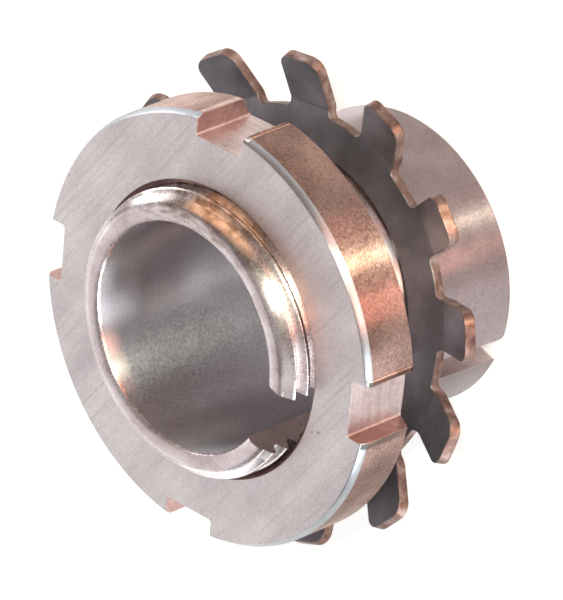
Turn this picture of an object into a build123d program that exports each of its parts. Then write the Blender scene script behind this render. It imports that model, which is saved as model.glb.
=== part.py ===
"""Bearing adapter sleeve: a slit, tapered sleeve with its lock nut and its lock washer.

The sleeve stands on its large end. The origin is the centre of the bore at that end,
and +Z runs along the bore towards the threaded end. All sizes are in millimetres.
"""
from build123d import *
import os
from math import cos, radians, sin, tan

# Sleeve
sleeve_length = 26.0
bore_d = 20.0
sleeve_wall = 2.5  # from the bore to the crests of the thread
taper = 1 / 12  # change of diameter over length
taper_rise = 0.05  # how far the taper's small end stands over the crests
thread_length = 12.0  # the fine thread is modelled plain, at its crests
thread_depth = 0.92
thread_lead_in = 0.9
relief_width = 1.2
bore_chamfer = 0.3
large_end_chamfer = 0.4

# Cut along the sleeve: a keyway from the thread end, then a slit to the large end
cut_angle = -16.8  # degrees from +X
keyway_width = 6.0
keyway_run_on = 4.0  # past the loose washer
slit_width = 2.3
slit_mouth_radius = 0.8

# Lock nut, with its spanner slots on +X, +Y, -X and -Y
nut_wall = 6.5  # from the crests of the thread to the rim
nut_width = 7.0
nut_setback = 2.6  # from the sleeve's threaded end to the nut's outer face
nut_clearance = 0.08  # radial, between the plain thread and the plain nut bore
nut_thread_chamfer = 0.4
nut_front_chamfer_depth = 0.35
nut_front_chamfer_length = 0.6
nut_face_width = 3.5  # flat face towards the washer, out from the crests of the thread
nut_face_angle = 30.0  # slope from that face out to the rim, which clears the bent tabs
spanner_slot_count = 4
spanner_slot_width = 5.2
spanner_slot_depth = 2.0
spanner_slot_corner = 0.25

# Lock washer, loose on the sleeve: it leans over until the nut squares it up
washer_gap = 3.7  # from the nut's inner face to the washer, on the axis
washer_ring_width = 3.4
washer_thickness = 1.0
washer_clearance = 0.17  # radial, left round the thread while the washer leans
washer_lean = 6.0
washer_low_side = 83.0  # degrees from +X, the side that lies furthest from the nut
washer_turn = 2.0  # degrees, the washer's play in the keyway
tab_count = 13
tab_width = 4.35
tab_length = 5.4  # beyond the ring, before the tab is bent
tab_root_length = 0.4  # the part of it that stays flat
tab_bend_angle = 26.5
tab_bend_radius = 0.8  # on the inside of the bend
tab_root_radius = 0.5
tab_corner_radius = 1.2
tang_clearance = 0.6  # on each side in the keyway
tang_tip_clearance = 0.6  # from the bore outwards

# Worked out from the sizes above
bore_r = bore_d / 2
thread_r = bore_r + sleeve_wall
nut_r = thread_r + nut_wall
nut_front_z = sleeve_length - nut_setback
nut_back_z = nut_front_z - nut_width
washer_lean_room = washer_thickness / 2 * tan(radians(washer_lean))
washer_hole_r = (thread_r + washer_clearance) / cos(radians(washer_lean)) + washer_lean_room
washer_ring_r = washer_hole_r + washer_ring_width
washer_front_z = nut_back_z - washer_gap


def turned(points):
    """Solid of revolution about Z from (radius, height) points."""
    outline = Polyline(*[(r, 0, z) for r, z in points], close=True)
    return revolve(make_face(outline), Axis.Z, 360)


def sleeve_blank():
    thread_z = sleeve_length - thread_length
    taper_top_z = thread_z - relief_width
    relief_r = thread_r - thread_depth

    def taper_r(z):
        return thread_r + taper_rise + (taper_top_z - z) * taper / 2

    return turned(
        [
            (bore_r + bore_chamfer, 0),
            (taper_r(0) - large_end_chamfer, 0),
            (taper_r(large_end_chamfer), large_end_chamfer),
            (taper_r(taper_top_z), taper_top_z),
            (relief_r, taper_top_z),
            (relief_r, thread_z),
            (thread_r, thread_z + thread_depth),
            (thread_r, sleeve_length - thread_lead_in),
            (thread_r - thread_lead_in, sleeve_length),
            (bore_r + bore_chamfer, sleeve_length),
            (bore_r, sleeve_length - bore_chamfer),
            (bore_r, bore_chamfer),
        ]
    )


def cut_outline():
    """Keyway, slit and the slit's rounded mouth, drawn flat: across and along the sleeve."""
    round_z = washer_front_z - keyway_run_on + keyway_width / 2
    round_end = Pos(0, round_z) * Circle(keyway_width / 2)
    keyway_run = sleeve_length - round_z
    keyway = Pos(0, round_z + keyway_run / 2) * Rectangle(keyway_width, keyway_run)
    slit = Pos(0, sleeve_length / 2) * Rectangle(slit_width, sleeve_length)
    mouth_width = slit_width + 2 * slit_mouth_radius
    mouth = Pos(0, slit_mouth_radius / 2) * Rectangle(mouth_width, slit_mouth_radius)
    for side in (-1, 1):
        mouth -= Pos(side * mouth_width / 2, slit_mouth_radius) * Circle(slit_mouth_radius)
    return keyway + round_end + slit + mouth


def adapter_sleeve():
    cutter = extrude(Plane.YZ * cut_outline(), nut_r)
    return sleeve_blank() - Rot(0, 0, cut_angle) * cutter


def nut_blank():
    hole_r = thread_r + nut_clearance
    face_r = thread_r + nut_face_width
    rim_back_z = nut_back_z + (nut_r - face_r) * tan(radians(nut_face_angle))
    return turned(
        [
            (hole_r + nut_thread_chamfer, nut_back_z),
            (face_r, nut_back_z),
            (nut_r, rim_back_z),
            (nut_r, nut_front_z - nut_front_chamfer_length),
            (nut_r - nut_front_chamfer_depth, nut_front_z),
            (hole_r + nut_thread_chamfer, nut_front_z),
            (hole_r, nut_front_z - nut_thread_chamfer),
            (hole_r, nut_back_z + nut_thread_chamfer),
        ]
    )


def lock_nut():
    slot_profile = Pos(nut_r, 0) * Rectangle(2 * spanner_slot_depth, spanner_slot_width)
    floor_corners = slot_profile.vertices().sort_by(Axis.X)[:2]
    slot_profile = fillet(floor_corners, spanner_slot_corner)
    slot = Pos(0, 0, nut_back_z) * extrude(slot_profile, nut_width)
    slots = [Rot(0, 0, i * 360 / spanner_slot_count) * slot for i in range(spanner_slot_count)]
    return nut_blank() - slots


def washer_plate():
    """Flat ring with the roots of its tabs and its inner tang."""
    root_r = washer_ring_r + tab_root_length
    root = Pos(root_r / 2, 0) * Rectangle(root_r, tab_width)
    plate = Circle(washer_ring_r) + [
        Rot(0, 0, i * 360 / tab_count) * root for i in range(tab_count)
    ]
    root_corners = plate.vertices().filter_by(
        lambda corner: abs(Vector(corner.X, corner.Y).length - washer_ring_r) < 0.01
    )
    plate = fillet(root_corners, tab_root_radius)
    tang_tip_r = bore_r + tang_tip_clearance
    tang_reach = washer_ring_r - tang_tip_r
    tang = Pos(tang_tip_r + tang_reach / 2, 0) * Rectangle(
        tang_reach, keyway_width - 2 * tang_clearance
    )
    return plate - Circle(washer_hole_r) + tang


def tab_side_view():
    """Section of a bent tab in the XZ plane: the inside of the bend faces the nut."""
    root_r = washer_ring_r + tab_root_length
    bend = radians(tab_bend_angle)
    bend_centre_z = washer_thickness + tab_bend_radius
    middle_radius = tab_bend_radius + washer_thickness / 2
    straight_length = tab_length - tab_root_length - middle_radius * bend
    straight = Vector(cos(bend), 0, sin(bend)) * straight_length

    def on_bend(radius, angle):
        return Vector(root_r + radius * sin(angle), 0, bend_centre_z - radius * cos(angle))

    def bend_arc(radius):
        return ThreePointArc(on_bend(radius, 0), on_bend(radius, bend / 2), on_bend(radius, bend))

    inner_end = on_bend(tab_bend_radius, bend)
    outer_end = on_bend(tab_bend_radius + washer_thickness, bend)
    return make_face(
        [
            Line((root_r, 0, 0), (root_r, 0, washer_thickness)),
            bend_arc(tab_bend_radius),
            Line(inner_end, inner_end + straight),
            Line(inner_end + straight, outer_end + straight),
            Line(outer_end + straight, outer_end),
            bend_arc(tab_bend_radius + washer_thickness),
        ]
    )


def bent_tab():
    tab = extrude(tab_side_view(), tab_width / 2, both=True)
    thickness_edges = tab.edges().filter_by(lambda e: abs(e.length - washer_thickness) < 0.01)
    tip_edges = thickness_edges.sort_by(Axis.X)[-2:]
    return fillet(tip_edges, tab_corner_radius)


def lock_washer():
    tab = bent_tab()
    tabs = [Rot(0, 0, i * 360 / tab_count) * tab for i in range(tab_count)]
    flat_washer = extrude(washer_plate(), washer_thickness) + tabs
    centred = Pos(0, 0, -washer_thickness / 2) * flat_washer
    in_keyway = Rot(0, 0, cut_angle + washer_turn) * centred
    lean_axis_angle = radians(washer_low_side + 90)
    lean_axis = Axis((0, 0, 0), (cos(lean_axis_angle), sin(lean_axis_angle), 0))
    leaning = in_keyway.rotate(lean_axis, washer_lean)
    return Pos(0, 0, washer_front_z - washer_thickness / 2) * leaning


def main():
    os.makedirs("parts", exist_ok=True)
    nodes = {
        "adapter_sleeve": adapter_sleeve(),
        "lock_nut": lock_nut(),
        "lock_washer": lock_washer(),
    }
    for name, solid in nodes.items():
        export_step(solid, f"parts/{name}.step")


main()
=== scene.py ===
"""Looks of the bearing adapter sleeve: slit tapered sleeve, lock nut and lock washer."""
from math import asin, atan2, cos, pi, radians, sin, tan

import bmesh
import bpy
from mathutils import Matrix, Quaternion, Vector

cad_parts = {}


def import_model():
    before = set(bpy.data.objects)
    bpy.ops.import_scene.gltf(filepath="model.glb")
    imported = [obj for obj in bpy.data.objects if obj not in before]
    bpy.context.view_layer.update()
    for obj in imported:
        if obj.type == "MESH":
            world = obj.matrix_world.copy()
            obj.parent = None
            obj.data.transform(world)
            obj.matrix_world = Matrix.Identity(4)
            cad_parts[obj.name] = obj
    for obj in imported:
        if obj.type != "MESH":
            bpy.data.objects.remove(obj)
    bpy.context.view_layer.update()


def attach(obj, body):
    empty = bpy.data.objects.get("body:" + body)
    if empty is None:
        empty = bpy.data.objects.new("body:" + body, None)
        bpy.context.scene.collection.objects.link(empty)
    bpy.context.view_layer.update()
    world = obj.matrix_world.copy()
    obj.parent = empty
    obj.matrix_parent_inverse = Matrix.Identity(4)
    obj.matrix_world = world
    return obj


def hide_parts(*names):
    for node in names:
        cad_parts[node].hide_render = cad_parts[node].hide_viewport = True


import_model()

# Sleeve, in millimetres as in the solids
BORE_R = 10.0
THREAD_R = 12.5
SLEEVE_LENGTH = 26.0
TAPER = 1 / 12
TAPER_RISE = 0.05
TAPER_TOP_Z = 12.8
THREAD_Z = 14.0
THREAD_DEPTH = 0.92
THREAD_PITCH = 1.5
THREAD_TURNS = 9
THREAD_START_Z = 13.15  # in the relief, so that the groove runs out into it
FLANK_ANGLE = 30.0
ROOT_R = THREAD_R - THREAD_DEPTH + 0.1
BORE_CHAMFER = 0.3
LARGE_END_CHAMFER = 0.4
CUT_ANGLE = -16.8
KEYWAY_WIDTH = 6.0
KEYWAY_END_Z = 8.7
SLIT_WIDTH = 2.3
SLIT_MOUTH_R = 0.8

# Rounded edges of the sleeve, as points: in from the outside, down from the end
TAPER_END_ROUND = ((0.03, 0.8), (0.12, 0.5), (0.26, 0.25), (0.43, 0.08), (0.62, 0.0))
TAPER_END_START = 1.1
THREAD_END_ROUND = ((0.0, 1.25), (0.06, 0.95), (0.22, 0.72), (0.72, 0.28), (0.98, 0.1), (1.32, 0.0))
BORE_MOUTH_ROUND = ((0.5, 0.0), (0.14, 0.16), (0.0, 0.4))  # out from the bore
FOOT_ROUND_IN = 0.14
FOOT_ROUND_Z = 0.13
# The thread's crest, as points: in from the crest, along from the crest's middle
CREST_ROUND = ((-0.1, 0.03), (0.01, 0.035), (0.04, 0.1), (0.1, 0.165), (0.18, 0.22))
# Its root: out from the root, along from the crest's middle
ROOT_ROUND = ((0.02, 0.62), (0.0, 0.69))
ROOT_BLEND = 0.1  # out from the root, where the flank ends
# The slit's mouth, as points in mouth radii: out from the slit's side, up from the large end
SLIT_MOUTH_ROUND = ((0.0, 1.0), (0.134, 0.5), (0.4, 0.2), (1.0, 0.0))

# Lock nut
NUT_R = 19.0
NUT_HOLE_R = 12.58
NUT_HOLE_CHAMFER = 0.4
NUT_FRONT_Z = 23.4
NUT_BACK_Z = 16.4
NUT_FACE_R = 16.0
NUT_FACE_ANGLE = 30.0
NUT_CHAMFER_DEPTH = 0.35
NUT_CHAMFER_LENGTH = 0.6
NUT_EDGE_ROUND = 0.07
SLOT_COUNT = 4
SLOT_WIDTH = 5.2
SLOT_FLOOR_R = 17.0
SLOT_CORNER_R = 0.25

# Lock washer
WASHER_FRONT_Z = 12.7
WASHER_T = 1.0
WASHER_LEAN = 6.0
WASHER_LOW_SIDE = 83.0
WASHER_TURN = 2.0
WASHER_EDGE_ROUND = 0.1
WASHER_CLEARANCE = 0.17
WASHER_RING_WIDTH = 3.4
LEAN_ROOM = WASHER_T / 2 * tan(radians(WASHER_LEAN))
WASHER_HOLE_R = (THREAD_R + WASHER_CLEARANCE) / cos(radians(WASHER_LEAN)) + LEAN_ROOM
WASHER_RING_R = WASHER_HOLE_R + WASHER_RING_WIDTH
TAB_COUNT = 13
TAB_WIDTH = 4.35
TAB_LENGTH = 5.4
TAB_ROOT = 0.4
TAB_BEND = radians(26.5)
TAB_BEND_R = 0.8
TAB_MIDDLE_R = TAB_BEND_R + WASHER_T / 2
TAB_ROOT_R = 0.5
TAB_CORNER_R = 1.2
TANG_WIDTH = 4.8
TANG_TIP_R = 10.6

MM = 0.001
STEPS = 144  # facets round the sleeve
NUT_STEPS = 180
WELD = 1e-4  # points closer than this are one
SEAM_WELD = 1e-3
CUT_SNAP = 1e-6
NEAR = 0.05  # a face whose middle is closer than this to a surface lies on it
PAST = 1.0  # how far a cutting shape reaches past the solid
SHARP_ANGLE = 32  # edges steeper than this stay sharp in the shading
ROUNDED_ANGLE = 38  # edges steeper than this are rounded


# Mesh making


def wire_bm(points):
    """A closed (radius, height) outline as a loop of edges."""
    bm = bmesh.new()
    verts = [bm.verts.new((r, 0, z)) for r, z in points]
    for i, vert in enumerate(verts):
        bm.edges.new((verts[i - 1], vert))
    return bm


def turned_bm(points, steps):
    """A closed (radius, height) outline turned once round the axis."""
    bm = wire_bm(points)
    bmesh.ops.spin(
        bm, geom=list(bm.verts) + list(bm.edges), cent=(0, 0, 0), axis=(0, 0, 1),
        dvec=(0, 0, 0), angle=2 * pi, steps=steps, use_merge=True, use_duplicate=False,
    )
    bmesh.ops.remove_doubles(bm, verts=bm.verts, dist=WELD)
    bmesh.ops.recalc_face_normals(bm, faces=bm.faces)
    return bm


def wound_bm(points, pitch, turns):
    """A closed (radius, height) outline wound up a helix, closed at both ends."""
    bm = wire_bm(points)
    bmesh.ops.spin(
        bm, geom=list(bm.verts) + list(bm.edges), cent=(0, 0, 0), axis=(0, 0, 1),
        dvec=(0, 0, pitch / STEPS), angle=2 * pi, steps=STEPS,
        use_merge=False, use_duplicate=False,
    )
    first_turn = list(bm.verts) + list(bm.edges) + list(bm.faces)
    for k in range(1, turns):
        made = bmesh.ops.duplicate(bm, geom=first_turn)
        copied = [e for e in made["geom"] if isinstance(e, bmesh.types.BMVert)]
        bmesh.ops.translate(bm, verts=copied, vec=(0, 0, k * pitch))
    bmesh.ops.remove_doubles(bm, verts=bm.verts, dist=WELD)
    bmesh.ops.holes_fill(bm, edges=[e for e in bm.edges if e.is_boundary], sides=0)
    bmesh.ops.recalc_face_normals(bm, faces=bm.faces)
    return bm


def outline_bm(points):
    """A closed flat outline as one face, and its corners."""
    bm = bmesh.new()
    corners = [bm.verts.new(point) for point in points]
    bm.faces.new(corners)
    return bm, corners


def round_corners(bm, corners, radius, segments):
    """Rounds corners of a flat outline."""
    bmesh.ops.bevel(
        bm, geom=corners, offset=radius, offset_type="OFFSET", segments=segments,
        profile=0.5, affect="VERTICES", material=-1,
    )


def pull(bm, distance):
    """Pulls a flat outline out into a solid."""
    made = bmesh.ops.extrude_face_region(bm, geom=list(bm.faces), use_keep_orig=True)
    moved = [e for e in made["geom"] if isinstance(e, bmesh.types.BMVert)]
    bmesh.ops.translate(bm, verts=moved, vec=distance)
    bmesh.ops.recalc_face_normals(bm, faces=bm.faces)


def lift(bm, height):
    bmesh.ops.translate(bm, verts=bm.verts, vec=(0, 0, height))


def turn(bm, degrees, axis="Z"):
    """Turns a shape about an axis through the origin."""
    matrix = Matrix.Rotation(radians(degrees), 3, axis)
    bmesh.ops.rotate(bm, verts=bm.verts, cent=(0, 0, 0), matrix=matrix)


def as_object(bm, name, materials=()):
    mesh = bpy.data.meshes.new(name)
    bm.to_mesh(mesh)
    bm.free()
    for material in materials:
        mesh.materials.append(material)
    piece = bpy.data.objects.new(name, mesh)
    bpy.context.scene.collection.objects.link(piece)
    return piece


def cut_away(bm, *cutters):
    """Cuts each tool's shape out of the solid; the cut faces keep the tool's finish."""
    count = max(f.material_index for part in (bm, *cutters) for f in part.faces) + 1
    finishes = [bpy.data.materials.new("finish") for _ in range(count)]
    piece = as_object(bm, "blank", finishes)
    tools = [as_object(cutter, "tool", finishes) for cutter in cutters]
    for tool in tools:
        cut = piece.modifiers.new("cut", "BOOLEAN")
        cut.operation = "DIFFERENCE"
        cut.solver = "MANIFOLD"
        cut.object = tool
    graph = bpy.context.evaluated_depsgraph_get()
    result = bmesh.new()
    result.from_mesh(piece.evaluated_get(graph).to_mesh())
    for item in [piece] + tools:
        bpy.data.meshes.remove(item.data)
    for finish in finishes:
        bpy.data.materials.remove(finish)
    return result


def set_finish(bm, rule):
    """Gives each face the finish that the rule names for its radius, height and direction."""
    for face in bm.faces:
        middle = face.calc_center_median()
        face.material_index = rule(middle.xy.length, middle.z, face.normal)


def place(bm, name, body, node, materials, edge_round=0.0):
    """Finishes a piece, in metres, and hangs it on its body in place of its solid."""
    bmesh.ops.remove_doubles(bm, verts=bm.verts, dist=WELD)
    bmesh.ops.dissolve_degenerate(bm, edges=bm.edges, dist=WELD)
    bmesh.ops.recalc_face_normals(bm, faces=bm.faces)
    bmesh.ops.scale(bm, vec=(MM, MM, MM), verts=bm.verts)
    for face in bm.faces:
        face.smooth = True
    piece = as_object(bm, name, materials)
    piece.data.set_sharp_from_angle(angle=radians(SHARP_ANGLE))
    if edge_round:
        rounding = piece.modifiers.new("edge rounding", "BEVEL")
        rounding.width = edge_round * MM
        rounding.segments = 2
        rounding.limit_method = "ANGLE"
        rounding.angle_limit = radians(ROUNDED_ANGLE)
        rounding.use_clamp_overlap = False
        rounding.harden_normals = True
        rounding.miter_outer = "MITER_ARC"
    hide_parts(node)
    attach(piece, body)


# Finishes

PIT_TONE = (0.06, 0.04, 0.045, 1)
GROUND_PIT_TONE = (0.12, 0.08, 0.09, 1)
# Brown of the painted warm reflection on the thread's +Y side
PAINTED_REFLECTION_TONE = (0.22, 0.13, 0.08, 1)
SHEET_FLECK_TONE = (0.3, 0.26, 0.25, 1)
PAINTED_REFLECTION_FROM_Y = 0.0075  # metres, where the painted warm reflection on the +Y side begins and where it is full
PAINTED_REFLECTION_FULL_Y = 0.0115
MIDDLE_TONES = (0.36, 0.64)  # the part of a mixed noise that the tones are spread over
QUARTER_TURN = 0.25
WHITE = (1, 1, 1, 1)


class Finish:
    """A node material built up on the part's own coordinates."""

    def __init__(self, name):
        self.material = bpy.data.materials.new(name)
        self.material.use_nodes = True
        self.tree = self.material.node_tree
        self.tree.nodes.clear()
        self.out = self.node("ShaderNodeOutputMaterial")
        self.shader = self.node("ShaderNodeBsdfPrincipled")
        self.link(self.shader.outputs[0], self.out.inputs["Surface"])
        self.coords = self.node("ShaderNodeTexCoord").outputs["Object"]

    def node(self, kind, **values):
        made = self.tree.nodes.new(kind)
        for key, value in values.items():
            setattr(made, key, value)
        return made

    def link(self, source, target):
        self.tree.links.new(source, target)

    def feed(self, target, value):
        """Links a node's output to the input, or sets a plain value there."""
        if hasattr(value, "is_linked"):
            self.link(value, target)
        else:
            target.default_value = value

    def math(self, operation, a, b=0.0, clamp=False):
        made = self.node("ShaderNodeMath", operation=operation, use_clamp=clamp)
        self.feed(made.inputs[0], a)
        self.feed(made.inputs[1], b)
        return made.outputs[0]

    def times(self, a, b):
        return self.math("MULTIPLY", a, b)

    def plus(self, a, b):
        return self.math("ADD", a, b)

    def mix(self, *shares):
        """Adds up (value, share) pairs."""
        parts = [self.times(value, share) for value, share in shares]
        total = parts[0]
        for part in parts[1:]:
            total = self.plus(total, part)
        return total

    def split(self):
        made = self.node("ShaderNodeSeparateXYZ")
        self.link(self.coords, made.inputs[0])
        return made.outputs

    def round_the_axis(self, across, along):
        """Coordinates squeezed so that a noise on them makes marks that run round the axis."""
        x, y, z = self.split()
        radius = self.math("SQRT", self.plus(self.times(x, x), self.times(y, y)))
        height_share = 1.37  # flat and upright faces both run through the noise
        travel = self.plus(radius, self.times(z, height_share))
        joined = self.node("ShaderNodeCombineXYZ")
        self.link(self.times(x, along), joined.inputs[0])
        self.link(self.times(y, along), joined.inputs[1])
        self.link(self.times(travel, across), joined.inputs[2])
        return joined.outputs[0]

    def straight(self, x, y, z, angle=0.0):
        """Coordinates turned about Z and then squeezed, for straight marks at that angle."""
        made = self.node("ShaderNodeMapping", vector_type="TEXTURE")
        self.link(self.coords, made.inputs["Vector"])
        made.inputs["Rotation"].default_value = (0, 0, radians(angle))
        made.inputs["Scale"].default_value = (1 / x, 1 / y, 1 / z)
        return made.outputs[0]

    def noise(self, vector, scale=1.0, detail=3.0, rough=0.5):
        made = self.node("ShaderNodeTexNoise")
        self.link(vector, made.inputs["Vector"])
        made.inputs["Scale"].default_value = scale
        made.inputs["Detail"].default_value = detail
        made.inputs["Roughness"].default_value = rough
        return made.outputs["Fac"]

    def spread(self, value, low, high, to_low=0.0, to_high=1.0):
        """The value with the range low to high laid over the range to_low to to_high."""
        made = self.node("ShaderNodeMapRange")
        self.link(value, made.inputs["Value"])
        made.inputs["From Min"].default_value = low
        made.inputs["From Max"].default_value = high
        made.inputs["To Min"].default_value = to_low
        made.inputs["To Max"].default_value = to_high
        return made.outputs[0]

    def blend(self, amount, a, b):
        made = self.node("ShaderNodeMix", data_type="RGBA")
        self.feed(made.inputs["Factor"], amount)
        colours = [i for i in made.inputs if i.type == "RGBA"]
        self.feed(colours[0], a)
        self.feed(colours[1], b)
        return [o for o in made.outputs if o.type == "RGBA"][0]

    def shade(self, value, tones):
        """Tones from dark to light, evenly laid over the value's middle range."""
        made = self.node("ShaderNodeValToRGB")
        self.link(self.spread(value, *MIDDLE_TONES), made.inputs[0])
        band = made.color_ramp
        while len(band.elements) < len(tones):
            band.elements.new(0.5)
        for i, tone in enumerate(tones):
            band.elements[i].position = i / (len(tones) - 1)
            band.elements[i].color = (*tone, 1)
        return made.outputs[0]

    def bump(self, height, strength, distance, under=None):
        made = self.node("ShaderNodeBump")
        self.link(height, made.inputs["Height"])
        made.inputs["Strength"].default_value = strength
        made.inputs["Distance"].default_value = distance
        if under is not None:
            self.link(under, made.inputs["Normal"])
        return made.outputs[0]

    def pits(self, scale, size):
        """Sparse dark specks."""
        made = self.node("ShaderNodeTexVoronoi", feature="F1")
        self.link(self.coords, made.inputs["Vector"])
        made.inputs["Scale"].default_value = scale
        core = size * 0.4
        near = self.spread(made.outputs["Distance"], size, core)
        patch_scale = scale * 0.31
        patches = self.noise(self.coords, scale=patch_scale, detail=1.0)
        chosen = self.spread(patches, low=0.6, high=0.66)
        return self.math("MULTIPLY", near, chosen, clamp=True)

    def metal(self, colour, roughness, normal, grain_round=0.0):
        """Bare metal; its grain, if any, runs round the axis."""
        inputs = self.shader.inputs
        self.feed(inputs["Base Color"], colour)
        inputs["Metallic"].default_value = 1.0
        self.feed(inputs["Roughness"], roughness)
        self.link(normal, inputs["Normal"])
        if grain_round:
            inputs["Anisotropic"].default_value = grain_round
            inputs["Anisotropic Rotation"].default_value = QUARTER_TURN
            tangent = self.node("ShaderNodeTangent", direction_type="RADIAL", axis="Z")
            self.link(tangent.outputs[0], inputs["Tangent"])
        return self.material


def turned_steel(
    name, tones, rough, grain_round, marks=0.5, specks=0.4, mottle=220.0, grit=1.0, painted_reflection=0.0
):
    """Turned steel: fine grain, marks round the axis, uneven colour, a few pits and, where asked
    for, brown patches on the side towards +Y that are a painted warm reflection."""
    f = Finish(name)
    fine = f.noise(f.round_the_axis(across=9000, along=60), detail=3.0, rough=0.6)
    wide = f.noise(f.round_the_axis(across=1600, along=40), detail=2.0)
    cloud = f.noise(f.coords, scale=mottle, detail=4.0, rough=0.6)
    grain = f.noise(f.coords, scale=4200, detail=2.0, rough=0.7)
    contrast = 0.05 + 0.16 * grit
    flecks = f.spread(grain, low=0.3, high=0.7, to_low=0.5 - contrast, to_high=0.5 + contrast)
    tone = f.mix((cloud, 0.45), (wide, 0.25 * marks), (flecks, 0.55 - 0.25 * marks))
    colour = f.shade(tone, tones)
    dark_marks = f.spread(fine, low=0.45, high=0.75, to_high=0.22 * marks)
    colour = f.blend(dark_marks, colour, (*tones[0], 1))
    pits = f.pits(scale=900, size=0.16)
    colour = f.blend(f.times(pits, specks), colour, PIT_TONE)
    # Painted warm reflection: brown patches on the side towards +Y
    if painted_reflection:
        painted_reflection_side = f.spread(f.split()[1], PAINTED_REFLECTION_FROM_Y, PAINTED_REFLECTION_FULL_Y)
        painted_reflection_cover = f.noise(f.round_the_axis(across=2600, along=700), detail=3.0, rough=0.6)
        patches = f.spread(painted_reflection_cover, low=0.42, high=0.6, to_high=painted_reflection)
        colour = f.blend(f.times(patches, painted_reflection_side), colour, PAINTED_REFLECTION_TONE)
    uneven = f.mix((fine, marks), (grain, 1.5 - marks))
    smoothest = rough - 0.02 - 0.04 * grit
    roughest = rough + 0.02 + 0.06 * grit
    roughness = f.spread(uneven, low=0.5, high=1.0, to_low=smoothest, to_high=roughest)
    relief = f.bump(fine, strength=0.35 * marks, distance=0.00002)
    relief = f.bump(wide, strength=0.2 * marks, distance=0.00004, under=relief)
    relief = f.bump(grain, strength=0.25 * grit, distance=0.00001, under=relief)
    return f.metal(colour, roughness, relief, grain_round)


def ground_steel(name, tones, rough, angle):
    """Steel ground flat: straight faint scratches at one angle over a fine grain."""
    f = Finish(name)
    lines = f.straight(x=70, y=2600, z=300, angle=angle)
    scratches = f.noise(lines, detail=4.0, rough=0.65)
    wide_lines = f.straight(x=40, y=420, z=200, angle=angle + 4)
    smears = f.noise(wide_lines)
    cloud = f.noise(f.coords, scale=160, detail=4.0, rough=0.6)
    grain = f.noise(f.coords, scale=4600, detail=2.0, rough=0.7)
    colour = f.shade(f.mix((cloud, 0.35), (smears, 0.3), (grain, 0.35)), tones)
    dark_scratches = f.spread(scratches, low=0.54, high=0.72, to_high=0.8)
    colour = f.blend(dark_scratches, colour, (*tones[0], 1))
    pits = f.pits(scale=760, size=0.14)
    colour = f.blend(f.times(pits, 0.55), colour, GROUND_PIT_TONE)
    roughness = f.spread(scratches, low=0.3, high=0.7, to_low=rough - 0.05, to_high=rough + 0.07)
    relief = f.bump(scratches, strength=0.25, distance=0.00002)
    relief = f.bump(grain, strength=0.2, distance=0.00001, under=relief)
    return f.metal(colour, roughness, relief)


def sheet_steel(name, tones, rough, mottle=260.0):
    """Rolled sheet: dark, faintly clouded, with a fine matt grain."""
    f = Finish(name)
    cloud = f.noise(f.coords, scale=mottle, detail=5.0, rough=0.6)
    grain = f.noise(f.coords, scale=4200, detail=3.0, rough=0.7)
    rolling = f.straight(x=500, y=60, z=300)
    streaks = f.noise(rolling, detail=4.0, rough=0.6)
    colour = f.shade(f.mix((cloud, 0.65), (streaks, 0.35)), tones)
    flecks = f.spread(grain, low=0.5, high=0.8, to_high=0.25)
    colour = f.blend(flecks, colour, SHEET_FLECK_TONE)
    roughness = f.spread(grain, low=0.3, high=0.7, to_low=rough - 0.06, to_high=rough + 0.08)
    relief = f.bump(grain, strength=0.22, distance=0.00002)
    relief = f.bump(cloud, strength=0.15, distance=0.0001, under=relief)
    return f.metal(colour, roughness, relief)


NUT_FACE = ground_steel(
    "nut_face",
    ((0.531, 0.465, 0.472), (0.658, 0.592, 0.593), (0.785, 0.719, 0.719)),
    rough=0.42, angle=53,
)
NUT_CHAMFER = turned_steel(
    "nut_chamfer",
    ((0.262, 0.259, 0.287), (0.408, 0.41, 0.456)),
    rough=0.32, grain_round=0.6, marks=0.2, specks=0.0, grit=0.2,
)
# The rim's copper-brown tones are a painted warm reflection; in the nut's hole they are a painted
# shade
NUT_RIM_AND_HOLE_SHADE = turned_steel(
    "nut_rim_and_hole_shade",
    ((0.146, 0.086, 0.077), (0.276, 0.172, 0.154), (0.439, 0.286, 0.254)),
    rough=0.34, grain_round=1.0, marks=0.1, specks=0.75,
)
# The slot walls' copper tones are a painted warm reflection
NUT_SLOT = turned_steel(
    "nut_slot",
    ((0.351, 0.183, 0.163), (0.429, 0.272, 0.263), (0.585, 0.413, 0.406)),
    rough=0.4, grain_round=0.6, marks=1.0, specks=0.5,
)
NUT_SLOT_FLOOR = turned_steel(
    "nut_slot_floor",
    ((0.359, 0.267, 0.275), (0.503, 0.401, 0.413), (0.646, 0.547, 0.563)),
    rough=0.42, grain_round=0.6, marks=1.0,
)
# The outside's dark mauve-brown tones are a painted reflection of dark brown surroundings
SLEEVE_OUTSIDE = turned_steel(
    "sleeve_outside",
    ((0.205, 0.155, 0.164), (0.29, 0.225, 0.24), (0.386, 0.305, 0.326)),
    rough=0.32, grain_round=1.0, marks=0.1, specks=0.2, grit=0.5,
)
# The thread's brown patches on the +Y side are a painted warm reflection
SLEEVE_THREAD = turned_steel(
    "sleeve_thread",
    ((0.459, 0.355, 0.341), (0.688, 0.583, 0.587), (0.882, 0.784, 0.799)),
    rough=0.28, grain_round=0.6, marks=0.3, specks=0.1, mottle=420.0, grit=0.25, painted_reflection=0.75,
)
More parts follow.
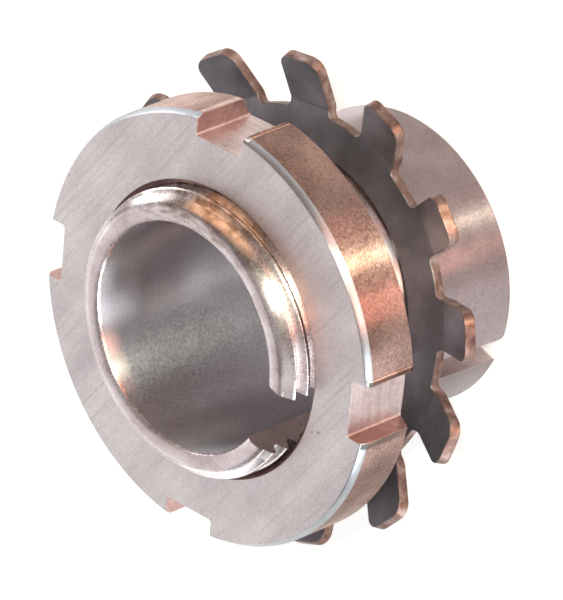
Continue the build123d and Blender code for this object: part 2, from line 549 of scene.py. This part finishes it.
# Its lighter tones also go on the taper's rounded end, as a painted highlight
SLEEVE_BORE_AND_HIGHLIGHT = turned_steel(
    "sleeve_bore_and_highlight",
    ((0.402, 0.363, 0.392), (0.5, 0.46, 0.497), (0.598, 0.562, 0.601)),
    rough=0.38, grain_round=0.66, marks=0.05, specks=0.25, mottle=160.0, grit=0.7,
)
SLEEVE_CUT = turned_steel(
    "sleeve_cut",
    ((0.371, 0.265, 0.254), (0.494, 0.381, 0.367), (0.564, 0.479, 0.453)),
    rough=0.4, grain_round=0.4,
)
WASHER_SHEET = sheet_steel(
    "washer_sheet",
    ((0.158, 0.153, 0.174), (0.22, 0.212, 0.239), (0.293, 0.282, 0.316)),
    rough=0.45,
)
WASHER_EDGE = sheet_steel(
    "washer_edge",
    ((0.059, 0.03, 0.026), (0.189, 0.109, 0.094), (0.364, 0.272, 0.257)),
    rough=0.46, mottle=700.0,
)


# Adapter sleeve

OUTSIDE, THREAD, BORE_AND_HIGHLIGHT, CUT = range(4)  # places in the sleeve's list of finishes


def taper_r(z):
    return THREAD_R + TAPER_RISE + (TAPER_TOP_Z - z) * TAPER / 2


def sleeve_blank():
    """The turned sleeve; its taper's rounded end takes the bore's lighter tones, a painted
    highlight.
    """
    relief_r = THREAD_R - THREAD_DEPTH
    taper_end_z = TAPER_TOP_Z - TAPER_END_START
    blank = turned_bm([
        (BORE_R + BORE_CHAMFER, 0),
        (taper_r(0) - LARGE_END_CHAMFER, 0),
        (taper_r(FOOT_ROUND_Z) - FOOT_ROUND_IN, FOOT_ROUND_Z),
        (taper_r(LARGE_END_CHAMFER), LARGE_END_CHAMFER),
        (taper_r(taper_end_z), taper_end_z),
        *[(taper_r(TAPER_TOP_Z) - inward, TAPER_TOP_Z - down) for inward, down in TAPER_END_ROUND],
        (relief_r, TAPER_TOP_Z),
        (relief_r, THREAD_Z),
        (THREAD_R, THREAD_Z + THREAD_DEPTH),
        *[(THREAD_R - inward, SLEEVE_LENGTH - down) for inward, down in THREAD_END_ROUND],
        *[(BORE_R + outward, SLEEVE_LENGTH - down) for outward, down in BORE_MOUTH_ROUND],
        (BORE_R, BORE_CHAMFER),
    ], STEPS)

    def finish(r, z, normal):
        if r < BORE_R + NEAR:
            return BORE_AND_HIGHLIGHT
        if z > TAPER_TOP_Z + NEAR:
            return THREAD
        # The taper's rounded end takes the bore's lighter tones: a painted highlight
        return BORE_AND_HIGHLIGHT if z > taper_end_z else OUTSIDE

    set_finish(blank, finish)
    return blank


def thread_groove():
    """The space between the thread's crests, wound up from the relief past the sleeve's end."""
    blend_r = ROOT_R + ROOT_BLEND
    crest_in, crest_end = CREST_ROUND[-1]
    flank_run = (THREAD_R - crest_in - blend_r) * tan(radians(FLANK_ANGLE))
    half = [(THREAD_R - inward, along) for inward, along in CREST_ROUND]
    half.append((blend_r, crest_end + flank_run))
    half += [(ROOT_R + outward, along) for outward, along in ROOT_ROUND]
    outline = half + [(r, THREAD_PITCH - along) for r, along in reversed(half)]
    raised = [(r, along + THREAD_START_Z) for r, along in outline]
    groove = wound_bm(raised, THREAD_PITCH, THREAD_TURNS)
    set_finish(groove, lambda r, z, normal: THREAD)
    return groove


def keyway_and_slit():
    """Cutting shapes for the keyway with its round end and for the slit with its wide mouth."""
    side = KEYWAY_WIDTH / 2
    top_z = SLEEVE_LENGTH + PAST
    keyway, corners = outline_bm([
        (0, -side, top_z), (0, side, top_z), (0, side, KEYWAY_END_Z), (0, -side, KEYWAY_END_Z),
    ])
    almost_side = side - 0.001  # keeps a sliver between the two rounded corners
    round_corners(keyway, corners[2:], almost_side, segments=12)

    side = SLIT_WIDTH / 2
    mouth = [(side + out * SLIT_MOUTH_R, up * SLIT_MOUTH_R) for out, up in SLIT_MOUTH_ROUND]
    edge = [(side, KEYWAY_END_Z + PAST), *mouth, (side + SLIT_MOUTH_R, -PAST)]
    slit, _ = outline_bm(
        [(0, y, z) for y, z in edge] + [(0, -y, z) for y, z in reversed(edge)]
    )
    for tool in (keyway, slit):
        pull(tool, (NUT_R + PAST, 0, 0))
        set_finish(tool, lambda r, z, normal: CUT)
        turn(tool, CUT_ANGLE)
    return keyway, slit


def sleeve():
    solid = cut_away(sleeve_blank(), thread_groove(), *keyway_and_slit())
    place(
        solid, "adapter_sleeve_turned", "sleeve", "adapter_sleeve",
        [SLEEVE_OUTSIDE, SLEEVE_THREAD, SLEEVE_BORE_AND_HIGHLIGHT, SLEEVE_CUT],
    )


# Lock nut

FACE, CHAMFER, RIM_AND_HOLE_SHADE, SLOT_WALL, SLOT_FLOOR = range(5)  # places in the nut's list of finishes


def nut_blank():
    """The turned nut; its hole takes the rim's dark tones, a painted shade."""
    back_rim_z = NUT_BACK_Z + (NUT_R - NUT_FACE_R) * tan(radians(NUT_FACE_ANGLE))
    hole_edge_r = NUT_HOLE_R + NUT_HOLE_CHAMFER
    chamfer_r = NUT_R - NUT_CHAMFER_DEPTH
    blank = turned_bm([
        (hole_edge_r, NUT_BACK_Z),
        (NUT_FACE_R, NUT_BACK_Z),
        (NUT_R, back_rim_z),
        (NUT_R, NUT_FRONT_Z - NUT_CHAMFER_LENGTH),
        (chamfer_r, NUT_FRONT_Z),
        (hole_edge_r, NUT_FRONT_Z),
        (NUT_HOLE_R, NUT_FRONT_Z - NUT_HOLE_CHAMFER),
        (NUT_HOLE_R, NUT_BACK_Z + NUT_HOLE_CHAMFER),
    ], NUT_STEPS)

    def finish(r, z, normal):
        # The rim keeps its own finish; the hole takes the rim's dark tones as a painted shade
        if r > NUT_R - NEAR or r < hole_edge_r:
            return RIM_AND_HOLE_SHADE
        return CHAMFER if r > chamfer_r else FACE

    set_finish(blank, finish)
    return blank


def slot_tool(degrees):
    """Cutting shape for one spanner slot, turned to its place on the rim."""
    side = SLOT_WIDTH / 2
    outer_r = NUT_R + 2 * PAST
    tool, corners = outline_bm([
        (SLOT_FLOOR_R, -side, 0), (outer_r, -side, 0), (outer_r, side, 0), (SLOT_FLOOR_R, side, 0),
    ])
    round_corners(tool, [corners[0], corners[3]], SLOT_CORNER_R, segments=4)
    pull(tool, (0, 0, NUT_FRONT_Z - NUT_BACK_Z + 2 * PAST))
    lift(tool, NUT_BACK_Z - PAST)
    set_finish(tool, lambda r, z, normal: SLOT_FLOOR if abs(normal.x) > 0.9 else SLOT_WALL)
    turn(tool, degrees)
    return tool


def nut():
    tools = [slot_tool(k * 360 / SLOT_COUNT) for k in range(SLOT_COUNT)]
    place(
        cut_away(nut_blank(), *tools), "lock_nut_turned", "nut", "lock_nut",
        [NUT_FACE, NUT_CHAMFER, NUT_RIM_AND_HOLE_SHADE, NUT_SLOT, NUT_SLOT_FLOOR], NUT_EDGE_ROUND,
    )


# Lock washer

SHEET, SHEET_EDGE = range(2)  # places in the washer's list of finishes


def sector_outline(with_tang):
    """Corners of one thirteenth of the flat washer, round the tab on +X. Also tells which of
    them are the tab's root corners and which are its tip corners."""
    half = pi / TAB_COUNT
    tab_edge = asin(TAB_WIDTH / 2 / WASHER_RING_R)
    gap_steps = 5
    hole_steps = 10

    def at(r, a):
        return r * cos(a), r * sin(a)

    def gap_angle(i):
        return half - (half - tab_edge) * i / gap_steps

    outer = [at(WASHER_RING_R, gap_angle(i)) for i in range(gap_steps + 1)]
    tip_x = WASHER_RING_R + TAB_LENGTH
    tip = [(tip_x, TAB_WIDTH / 2), (tip_x, -TAB_WIDTH / 2)]
    inner = [at(WASHER_HOLE_R, -half + 2 * half * i / hole_steps) for i in range(hole_steps + 1)]
    if with_tang:
        tang_edge = asin(TANG_WIDTH / 2 / WASHER_HOLE_R)
        kept_past = tang_edge + 0.01  # keeps the hole's points off the tang's corners
        inner = [p for p in inner if abs(atan2(p[1], p[0])) > kept_past]
        middle = len(inner) // 2
        inner[middle:middle] = [
            at(WASHER_HOLE_R, -tang_edge), (TANG_TIP_R, -TANG_WIDTH / 2),
            (TANG_TIP_R, TANG_WIDTH / 2), at(WASHER_HOLE_R, tang_edge),
        ]
    points = outer + tip + [(x, -y) for x, y in reversed(outer)] + inner
    return points, (gap_steps, gap_steps + 3), (gap_steps + 1, gap_steps + 2)


def bend_up(bm, bend_start):
    """Bends all that lies past bend_start up over the bend radius."""
    bend_run = TAB_MIDDLE_R * TAB_BEND
    bend_steps = 8
    cuts = [WASHER_RING_R - 0.8, WASHER_RING_R + 0.1]  # these keep the ring's faces even
    cuts += [bend_start + bend_run * i / bend_steps for i in range(bend_steps + 1)]
    for x in cuts:
        bmesh.ops.bisect_plane(
            bm, geom=list(bm.verts) + list(bm.edges) + list(bm.faces), dist=CUT_SNAP,
            plane_co=(x, 0, 0), plane_no=(1, 0, 0),
        )
    for v in bm.verts:
        if v.co.x > bend_start:
            run = v.co.x - bend_start
            angle = min(run / TAB_MIDDLE_R, TAB_BEND)
            beyond = max(0.0, run - bend_run)
            reach = WASHER_T + TAB_BEND_R - v.co.z
            v.co.x = bend_start + reach * sin(angle) + beyond * cos(angle)
            v.co.z = WASHER_T + TAB_BEND_R - reach * cos(angle) + beyond * sin(angle)


def washer_sector(with_tang):
    """One thirteenth of the washer, with its tab bent, open where it meets its neighbours."""
    points, roots, tips = sector_outline(with_tang)
    bm, corners = outline_bm([(x, y, 0) for x, y in points])
    round_corners(bm, [corners[i] for i in tips], TAB_CORNER_R, segments=8)
    round_corners(bm, [corners[i] for i in roots], TAB_ROOT_R, segments=5)
    pull(bm, (0, 0, WASHER_T))

    def on_seam(vert):
        return abs(abs(atan2(vert.co.y, vert.co.x)) - pi / TAB_COUNT) < SEAM_WELD

    seam = [f for f in bm.faces if all(on_seam(v) for v in f.verts)]
    bmesh.ops.delete(bm, geom=seam, context="FACES_ONLY")
    set_finish(bm, lambda r, z, normal: SHEET_EDGE if abs(normal.z) < 0.5 else SHEET)
    bend_up(bm, WASHER_RING_R + TAB_ROOT)
    return bm


def washer():
    plain = washer_sector(False)
    turn(plain, 360 / TAB_COUNT)
    bmesh.ops.spin(
        plain, geom=list(plain.verts) + list(plain.edges) + list(plain.faces), cent=(0, 0, 0),
        axis=(0, 0, 1), dvec=(0, 0, 0), angle=2 * pi * (TAB_COUNT - 2) / TAB_COUNT,
        steps=TAB_COUNT - 2, use_duplicate=True, use_merge=False,
    )
    tanged = washer_sector(True)
    joined = bpy.data.meshes.new("tanged")
    tanged.to_mesh(joined)
    tanged.free()
    plain.from_mesh(joined)
    bpy.data.meshes.remove(joined)
    bmesh.ops.remove_doubles(plain, verts=plain.verts, dist=SEAM_WELD)
    lift(plain, -WASHER_T / 2)
    turn(plain, CUT_ANGLE + WASHER_TURN)
    lean_axis = radians(WASHER_LOW_SIDE + 90)
    turn(plain, WASHER_LEAN, Vector((cos(lean_axis), sin(lean_axis), 0)))
    lift(plain, WASHER_FRONT_Z - WASHER_T / 2)
    place(
        plain, "lock_washer_pressed", "washer", "lock_washer",
        [WASHER_SHEET, WASHER_EDGE], WASHER_EDGE_ROUND,
    )


# Floor, light and camera

TARGET = Vector((-0.06, -0.145, 14.158)) * MM  # what the camera and the lamps face
CAMERA_AZIMUTH = 37.574
CAMERA_ELEVATION = 40.685
CAMERA_ROLL = -111.636
CAMERA_DISTANCE = 0.58309
LENS = 278.953
SENSOR_HEIGHT = 24.0
FLOOR_SIZE = 2.0
FLOOR_Z = -0.00005
FLOOR_TONE = (0.85, 0.85, 0.85, 1)
FLOOR_ROUGHNESS = 0.9
FLOOR_GLOW = 0.45
SKY_TONE = (1.0, 0.97, 0.98, 1)
SKY_STRENGTH = 0.15

# Name, azimuth and elevation seen from the part, distance, width and height in metres, power
# in watts, colour
LAMPS = (
    ("flash", 42.3, 43, 0.62, 0.008, 0.12, 3.0, (0.92, 1.0, 0.8)),
    ("low_strip", 40.5, 4, 0.62, 0.03, 0.08, 1.35, (0.96, 1.0, 0.68)),
    ("pink_strip", 20, 4, 0.7, 0.16, 0.08, 1.5, (1.0, 0.5, 0.36)),
    ("warm_glow", 46, 3.5, 0.7, 0.42, 0.08, 0.6, (1.0, 0.12, 0.06)),
    ("warm_high", 109, 36, 0.8, 0.82, 0.3, 1.4, (1.0, 0.58, 0.3)),
    ("window", 215, 42, 0.9, 1.0, 0.8, 1.9, (1.0, 0.98, 1.0)),
    ("back_window", 160, 8, 0.8, 0.38, 0.25, 3.2, (0.92, 1.0, 1.0)),
    ("left_softbox", -27, 4, 0.8, 0.85, 0.12, 4.6, (0.92, 1.0, 1.0)),
    ("left_high", -38, 50, 0.9, 0.7, 0.45, 0.75, (0.97, 1.0, 1.0)),
    ("near_softbox", -100, 8, 0.8, 0.7, 0.2, 1.3, (0.9, 1.0, 1.0)),
    ("rear_softbox", -150, 15, 0.8, 0.6, 0.3, 0.6, (0.9, 1.0, 1.0)),
    ("top_softbox", 42, 85, 0.9, 0.5, 0.5, 0.2, (1.0, 1.0, 1.0)),
)


def stand(name, data, azimuth, elevation, distance):
    """Sets a lamp or a camera up round the part, facing it."""
    piece = bpy.data.objects.new(name, data)
    a = radians(azimuth)
    e = radians(elevation)
    direction = Vector((cos(e) * cos(a), cos(e) * sin(a), sin(e)))
    piece.location = TARGET + direction * distance
    piece.rotation_mode = "QUATERNION"
    piece.rotation_quaternion = direction.to_track_quat("Z", "Y")
    bpy.context.scene.collection.objects.link(piece)
    return piece


def lamp(name, azimuth, elevation, distance, width, height, power, colour):
    data = bpy.data.lights.new(name, "AREA")
    data.shape = "RECTANGLE"
    data.size = width
    data.size_y = height
    data.energy = power
    data.color = colour
    stand(name, data, azimuth, elevation, distance)


def camera():
    data = bpy.data.cameras.new("camera")
    data.sensor_fit = "VERTICAL"
    data.sensor_height = SENSOR_HEIGHT
    data.lens = LENS
    data.clip_start = 0.01
    data.clip_end = 20
    piece = stand("camera", data, CAMERA_AZIMUTH, CAMERA_ELEVATION, CAMERA_DISTANCE)
    roll = Quaternion((0, 0, 1), radians(CAMERA_ROLL))
    piece.rotation_quaternion = piece.rotation_quaternion @ roll
    bpy.context.scene.camera = piece


def floor():
    bm = bmesh.new()
    bmesh.ops.create_grid(bm, x_segments=1, y_segments=1, size=FLOOR_SIZE)
    piece = as_object(bm, "floor")
    piece.location.z = FLOOR_Z
    f = Finish("floor_white")
    inputs = f.shader.inputs
    inputs["Base Color"].default_value = FLOOR_TONE
    inputs["Roughness"].default_value = FLOOR_ROUGHNESS
    inputs["Emission Color"].default_value = WHITE
    inputs["Emission Strength"].default_value = FLOOR_GLOW
    piece.data.materials.append(f.material)


def world():
    made = bpy.data.worlds.new("studio")
    made.use_nodes = True
    sky = made.node_tree.nodes["Background"]
    sky.inputs["Color"].default_value = SKY_TONE
    sky.inputs["Strength"].default_value = SKY_STRENGTH
    bpy.context.scene.world = made


camera()
world()
floor()
for row in LAMPS:
    lamp(*row)
bpy.context.scene.view_settings.view_transform = "Standard"

sleeve()
nut()
washer()
